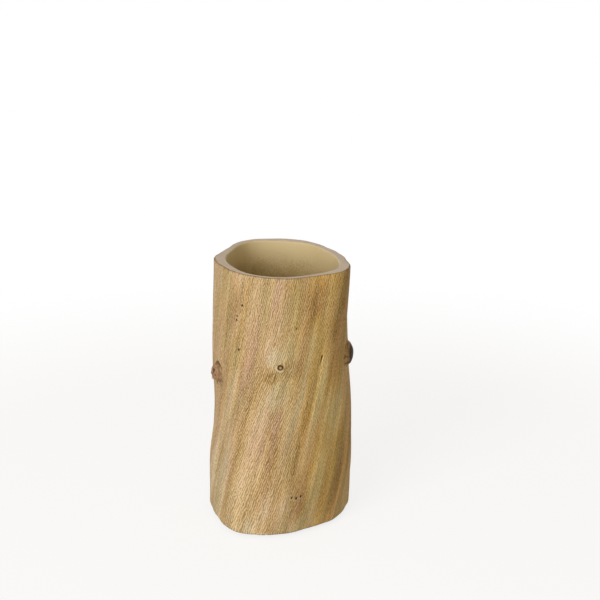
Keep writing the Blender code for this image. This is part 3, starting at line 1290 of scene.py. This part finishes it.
@dataclass(frozen=True)
class SoftPads:
    """The four poured pads under the casting, each with its film of adhesive.

    The underside of a pad is dished: the dish's reaches and rises are shares of its width and
    of its depth, from the middle outwards.
    """

    nodes: tuple[str, ...] = (
        "foot_front_left", "foot_front_right", "foot_back_right", "foot_back_left"
    )
    film: float = 0.00026
    film_inset: float = 0.0002
    top_edge: float = 0.00015
    bottom_edge: float = 0.0004
    dish: float = 0.00012
    dish_share: float = 0.7
    dish_reaches: tuple[float, ...] = (0.5, 0.9, 1.0)
    dish_rises: tuple[float, ...] = (1.0, 0.8, 0.0)
    sharp_angle: float = 40.0
    edge_steps: int = 5
    segments: int = 56

    def profile(self, radius: float, thickness: float) -> ndarray:
        """Draws half a pad, from the middle below round its edge to its film.

        Args:
            radius: the pad's radius.
            thickness: the pad's thickness without its film.

        Returns:
            Distances from the middle, and their heights.
        """
        sine, cosine = quarter_turn(self.edge_steps)
        low, high = self.bottom_edge, self.top_edge
        film = radius - self.film_inset
        reaches, rises = np.array(self.dish_reaches), np.array(self.dish_rises)
        stretches = (
            (radius * self.dish_share * reaches, self.dish * rises),
            (radius - low * (1 - sine), low * (1 - cosine)),
            (radius - high * (1 - cosine[:-1]), thickness - high * (1 - sine[:-1])),
            ((film, film), (thickness, thickness + self.film)),
        )
        return np.hstack(stretches)

    def build(self, node: str) -> Object:
        """Turns one pad in the place of its solid.

        Args:
            node: the solid's name.

        Returns:
            The pad.
        """
        low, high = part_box(node)
        middle_x, middle_y = (low[0] + high[0]) / 2, (low[1] + high[1]) / 2
        reaches, rises = self.profile((high[0] - low[0]) / 2, high[2] - low[2])
        turn = np.arange(self.segments) * 2 * math.pi / self.segments
        x = middle_x + reaches[:, None] * np.cos(turn)
        y = middle_y + reaches[:, None] * np.sin(turn)
        z = np.repeat(low[2] + rises[:, None], self.segments, axis=1)
        middles = [(middle_x, middle_y, low[2] + rise) for rise in (self.dish, rises[-1])]
        name = node.replace("foot", "soft_pad")
        mesh = ring_mesh(name, np.stack((x, y, z), axis=-1), middles)
        mesh.set_sharp_from_angle(angle=math.radians(self.sharp_angle))
        return add_object(name, mesh)


@dataclass(frozen=True)
class SoftLamp:
    """A soft square lamp that faces the cup.

    Its angle is round from +X, its rise is above the floor, and its power is in watts.
    """

    name: str
    angle: float
    rise: float
    distance: float
    size: float
    power: float

    def hang(self) -> None:
        """Hangs the lamp."""
        lamp = bpy.data.lights.new(self.name, "AREA")
        lamp.shape = "SQUARE"
        lamp.size = self.size
        lamp.energy = self.power
        hung = add_object(self.name, lamp)
        turn, lift = math.radians(self.angle), math.radians(self.rise)
        level = math.cos(lift)
        towards = Vector((math.cos(turn) * level, math.sin(turn) * level, math.sin(lift)))
        hung.location = towards * self.distance
        hung.rotation_euler = (-towards).to_track_quat("-Z", "Y").to_euler()


@dataclass(frozen=True)
class Studio:
    """A white floor, a large soft key lamp at the front left and a weak one behind."""

    white: str = "#FFFFFF"
    warm_wall: str = "#FFF1DC"
    surroundings: float = 0.35
    floor_size: float = 12.0
    shadow_floor_share: float = 0.26
    shadow_floor_glow: float = 0.80
    dim_floor: str = "#B4B2AE"
    floor_fade: tuple[float, float] = (0.16, 0.36)
    lamps: tuple[SoftLamp, ...] = (
        SoftLamp("key_lamp", angle=-119.0, rise=16.0, distance=1.5, size=0.9, power=16.3),
        SoftLamp("back_lamp", angle=60.0, rise=30.0, distance=1.8, size=1.2, power=2.0),
    )
    view_pitch: float = 18.5
    view_distance: float = 1.2
    aim_from_axis: tuple[float, float, float] = (0.009, 0.0, 0.10177)
    sensor: float = 36.0
    lens_pixels: float = 2666.0
    frame_pixels: float = 600.0
    view_reach: tuple[float, float] = (0.05, 50.0)

    def where_seen(self, tree: NodeTree, unseen: Node, seen: Node) -> Node:
        """Puts one shader where the background is seen: direct, in gloss or through clear parts.

        Args:
            tree: the tree that gets the nodes.
            unseen: the shader for all other rays.
            seen: the shader for rays that see the background.

        Returns:
            The two together.
        """
        rays = add_node(tree, "LightPath").outputs
        share = rays["Is Camera Ray"]
        for other in ("Is Glossy Ray", "Is Transmission Ray"):
            share = add_node(tree, "Math", {"operation": "MAXIMUM"}, (share, rays[other]))
        return add_node(tree, "MixShader", inputs=(share, unseen, seen))

    def lay_floor(self) -> None:
        """Lays the floor: it keeps the shadow near the cup and turns plain white further off."""
        half = self.floor_size / 2
        corners = [(-half, -half, 0), (half, -half, 0), (half, half, 0), (-half, half, 0)]
        mesh = bpy.data.meshes.new("studio_floor")
        mesh.from_pydata(corners, [], [(0, 1, 2, 3)])
        material, tree = new_material("white_studio_floor")
        grey = (self.shadow_floor_share,) * 3 + (1.0,)
        lit = add_node(tree, "BsdfDiffuse", inputs=(grey,))
        glow = add_node(tree, "Emission", inputs=(self.white, self.shadow_floor_glow))
        near = add_node(tree, "AddShader", inputs=(lit, glow))
        far = add_node(tree, "Emission", inputs=(self.white,))
        place = add_node(tree, "TexCoord").outputs["Object"]
        away = add_node(tree, "VectorMath", {"operation": "LENGTH"}, (place,))
        smooth = {"interpolation_type": "SMOOTHSTEP"}
        fade = add_node(tree, "MapRange", smooth, (away, *self.floor_fade))
        seen = add_node(tree, "MixShader", inputs=(fade, near, far))
        dim = add_node(tree, "BsdfDiffuse", inputs=(self.dim_floor,))
        add_node(tree, "OutputMaterial", inputs=(self.where_seen(tree, dim, seen),))
        mesh.materials.append(material)
        add_object("studio_floor", mesh)

    def surround(self) -> None:
        """Gives the room its pale light, and white where the background is seen."""
        world = bpy.data.worlds.new("pale_room")
        world.use_nodes = True
        tree = world.node_tree
        tree.nodes.clear()
        room = add_node(tree, "Background", inputs=(self.warm_wall, self.surroundings))
        backdrop = add_node(tree, "Background", inputs=(self.white, 1.0))
        add_node(tree, "OutputWorld", inputs=(self.where_seen(tree, room, backdrop),))
        bpy.context.scene.world = world

    def set_camera(self, axis: tuple[float, float]) -> None:
        """Sets the camera at the photograph's viewing angle.

        Args:
            axis: the X and Y of the log's axis, from which the aim is measured.
        """
        camera = bpy.data.cameras.new("camera")
        camera.sensor_width = self.sensor
        camera.lens = self.sensor * self.lens_pixels / self.frame_pixels
        camera.clip_start, camera.clip_end = self.view_reach
        placed = add_object("camera", camera)
        pitch = math.radians(self.view_pitch)
        aim = Vector(self.aim_from_axis) + Vector((*axis, 0))
        back = Vector((0, -math.cos(pitch), math.sin(pitch)))
        placed.location = aim + back * self.view_distance
        placed.rotation_euler = (math.pi / 2 - pitch, 0, 0)
        bpy.context.scene.camera = placed

    def set_up(self, axis: tuple[float, float]) -> None:
        """Sets up the floor, the lamps, the room and the camera.

        Args:
            axis: the X and Y of the log's axis.
        """
        self.lay_floor()
        for lamp in self.lamps:
            lamp.hang()
        self.surround()
        self.set_camera(axis)
        bpy.context.scene.view_settings.view_transform = "Standard"


def log_marks() -> tuple[SurfaceMark, ...]:
    """Lists the marks on the log, each with its angle, height, width, length and mesh gap.

    Returns:
        The marks, the largest first.
    """
    holes = (
        (235.0, 0.1056, 0.0009),
        (229.0, 0.0982, 0.0009),
        (229.5, 0.1001, 0.0007),
        (231.5, 0.0848, 0.0009),
    )
    nicks = ((279.5, 0.0172, 0.0013), (283.5, 0.0166, 0.0016), (287.5, 0.0171, 0.0013))
    return (
        BranchStub(350.0, 0.0772, 0.0120, 0.0114, 0.00040, rise=0.0027, root=0.0010, post=0.0050),
        SmallKnot(200.0, 0.0695, 0.0088, 0.0092, 0.00029, rise=0.0026, root=0.0008, post=0.0038),
        TwigScar(270.7, 0.0793, 0.0056, 0.0070, 0.00024, rise=0.0004, root=0.0006, post=0.0013),
        *(BeetleHole(angle, height, size, size, 0.00022) for angle, height, size in holes),
        GrainSplit(306.2, 0.0806, 0.0009, 0.0064, 0.00025),
        GrainSplit(284.0, 0.0964, 0.0004, 0.0030, 0.00022, depth=0.0003),
        *(Nick(angle, height, 0.0008, length, 0.00024) for angle, height, length in nicks),
        ChippedEdge(255.0, 0.0, 0.0070, 0.0016, 0.00030),
    )


def wiped_streaks() -> tuple[WipedStreak, ...]:
    """Lists the streaks that the hand left in the stain at the front.

    Returns:
        The streaks, from the left round to the right.
    """
    # Fibre, height, width, length, tone and tint
    places = (
        (161.0, 0.100, 0.0040, 0.040, -0.7, -0.2),
        (167.0, 0.104, 0.0060, 0.024, -0.72, -0.2),
        (173.0, 0.098, 0.0030, 0.012, 0.3, 0.0),
        (176.0, 0.082, 0.0080, 0.016, -0.2, -0.5),
        (179.0, 0.061, 0.0080, 0.044, 0.5, 0.1),
        (187.5, 0.016, 0.0070, 0.026, 0.62, -0.3),
        (188.5, 0.039, 0.0070, 0.036, 0.5, -0.1),
        (192.0, 0.084, 0.0070, 0.044, -1.0, 0.15),
        (197.0, 0.058, 0.0050, 0.034, -0.9, 0.0),
        (203.0, 0.026, 0.0035, 0.044, -0.5, 0.1),
        (206.0, 0.112, 0.0030, 0.020, -0.2, 0.9),
        (207.0, 0.088, 0.0070, 0.022, 0.45, 0.3),
        (214.0, 0.083, 0.0070, 0.009, 0.7, 0.0),
        (215.5, 0.0745, 0.0060, 0.008, -0.8, 0.0),
        (214.0, 0.048, 0.0090, 0.030, 0.3, 0.5),
        (218.0, 0.022, 0.0110, 0.040, 0.35, 0.0),
        (223.0, 0.108, 0.0065, 0.026, 0.2, -0.5),
        (224.0, 0.087, 0.0050, 0.012, 0.6, -0.3),
        (224.0, 0.067, 0.0070, 0.013, 0.8, -0.1),
        (228.5, 0.0778, 0.0080, 0.0080, -1.7, 0.2),
        (225.0, 0.002, 0.0060, 0.012, 0.5, 0.2),
        (229.0, 0.052, 0.0050, 0.022, -0.6, 0.4),
        (230.0, 0.020, 0.0040, 0.014, -0.3, 0.3),
        (231.5, 0.036, 0.0035, 0.026, -0.8, 0.1),
        (232.0, 0.104, 0.0050, 0.028, -0.45, 0.0),
        (236.5, 0.086, 0.0040, 0.030, -0.6, 0.2),
        (238.0, 0.012, 0.0050, 0.014, 0.3, 0.2),
        (241.0, 0.108, 0.0100, 0.028, -0.6, 0.1),
        (243.5, 0.066, 0.0065, 0.050, 0.75, 0.0),
        (245.0, 0.090, 0.0050, 0.026, 0.35, -0.2),
        (251.0, 0.037, 0.0026, 0.016, -0.7, -0.2),
        (251.0, 0.013, 0.0070, 0.018, 0.35, 0.1),
        (253.5, 0.074, 0.0042, 0.054, -1.1, -0.4),
        (262.0, 0.066, 0.0060, 0.040, 0.7, -0.1),
        (262.5, 0.020, 0.0065, 0.032, -0.5, 0.1),
        (264.0, 0.011, 0.0040, 0.014, -0.5, 0.2),
        (270.0, 0.105, 0.0180, 0.030, -1.0, 0.0),
        (266.0, 0.107, 0.0060, 0.034, -1.7, -0.5),
        (272.0, 0.001, 0.0210, 0.014, 0.8, 0.0),
        (275.0, 0.058, 0.0080, 0.026, 0.5, 0.0),
        (281.0, 0.092, 0.0100, 0.040, -0.6, 0.0),
        (281.0, 0.018, 0.0078, 0.036, 1.2, -0.2),
        (284.0, 0.001, 0.0070, 0.010, 0.4, 0.0),
        (288.0, 0.054, 0.0090, 0.022, 0.9, 0.0),
        (292.0, 0.018, 0.0055, 0.030, -0.58, -0.2),
        (299.0, 0.036, 0.0030, 0.014, -0.5, 0.0),
        (308.0, 0.022, 0.0080, 0.036, -1.0, 0.0),
        (331.0, 0.002, 0.0100, 0.014, 0.5, 0.0),
    )
    return tuple(WipedStreak(*place) for place in places)


def strewn_streaks(shape: LogShape, count: int = 90) -> tuple[WipedStreak, ...]:
    """Strews streaks over the log's sides and back.

    Args:
        shape: the log.
        count: how many.

    Returns:
        The streaks.
    """
    # From the right round the back to the left
    dice = np.random.default_rng(11)
    angles = dice.uniform(340, 560, count)
    heights = dice.uniform(0, shape.height, count)
    widths = dice.uniform(0.003, 0.008, count)
    lengths = dice.uniform(0.015, 0.050, count)
    tones = dice.normal(0, 0.6, count)
    tints = dice.normal(0, 0.35, count)
    fibres = angles - shape.grain_turn(heights)
    rows = zip(fibres, heights, widths, lengths, tones, tints)
    return tuple(WipedStreak(*map(float, row)) for row in rows)


def main() -> None:
    """Builds the cup and its studio, and reports each piece."""
    logging.basicConfig(level=logging.INFO, format="%(name)s: %(message)s")
    shape = LogShape()
    low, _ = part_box("cup_body")
    axis = shape.axis_in(low)

    streaks = wiped_streaks() + strewn_streaks(shape)
    ridges = (
        GrainRidges(width=0.0028, length=0.034, height=0.00005),
        GrainRidges(width=0.0012, length=0.012, height=0.000015),
    )
    body = CastLogBody(shape, log_marks(), streaks, ridges, GrainDrift())
    casting = body.build(axis, low[2])
    body.dress(casting)
    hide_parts(body.node)
    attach(casting, "root")
    REPORT.info("%s: %d faces", casting.name, len(casting.data.polygons))

    pads = SoftPads()
    clear = ClearPolyurethane().material()
    for node in pads.nodes:
        pad = pads.build(node)
        pad.data.materials.append(clear)
        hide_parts(node)
        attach(pad, "root")
        REPORT.info("%s: %d faces", pad.name, len(pad.data.polygons))

    Studio().set_up(axis)


if __name__ == "__main__":
    main()
